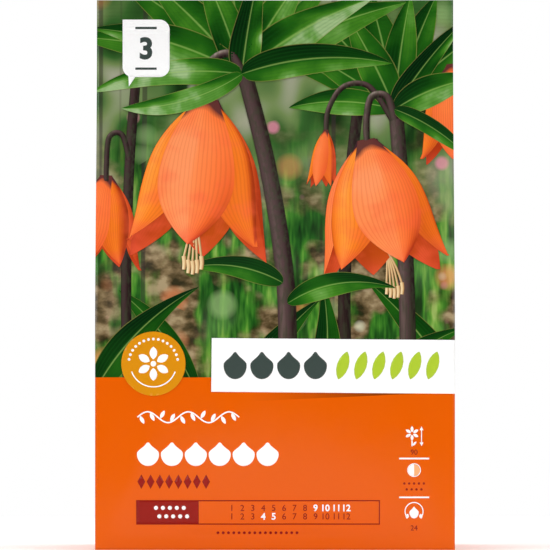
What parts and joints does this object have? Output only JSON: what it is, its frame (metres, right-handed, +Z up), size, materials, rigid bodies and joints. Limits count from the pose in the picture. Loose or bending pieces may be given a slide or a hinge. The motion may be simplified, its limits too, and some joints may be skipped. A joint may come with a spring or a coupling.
{
  "type": "flower bulb packet",
  "caption": "Printed flat-bottomed film pouch with folded side gussets and a crimped top seal, holding a crown imperial bulb in wood shavings.",
  "frame": {"origin": "centre of the packet's bounding box on the surface it stands on", "axes": "+Z up towards the top seal, -Y towards the printed front, +X to the right of the front as a reader sees it"},
  "size_m": [0.14, 0.092, 0.215],
  "materials": {
    "printed_front_film": "satin-gloss laminated film, orange print with a green picture zone",
    "printed_back_film": "satin-gloss laminated film, orange print with pale panels",
    "printed_side_film": "satin-gloss laminated film, printed green over orange",
    "plain_base_film": "satin-gloss laminated film, plain orange",
    "print_white": "white ink under a clear film",
    "print_dark_red": "dark red ink under a clear film",
    "print_slate": "dark slate ink under a clear film",
    "print_ochre": "ochre ink under a clear film",
    "print_lime": "lime green ink under a clear film",
    "print_bloom": "printed orange petals with fine veins, under a clear film",
    "print_foliage": "printed green leaves and dark stalks, under a clear film",
    "bulb_flesh": "dry cream and buff bulb scales",
    "shavings": "raw curled pine shavings"
  },
  "bodies": {
    "root": {"front_panel": "printed_front_film", "back_panel": "printed_back_film", "side_gusset_left": "printed_side_film", "side_gusset_right": "printed_side_film", "base_panel": "plain_base_film", "crown_imperial_bulb": "bulb_flesh", "wood_shavings": "shavings"}
  },
  "joints": []
}
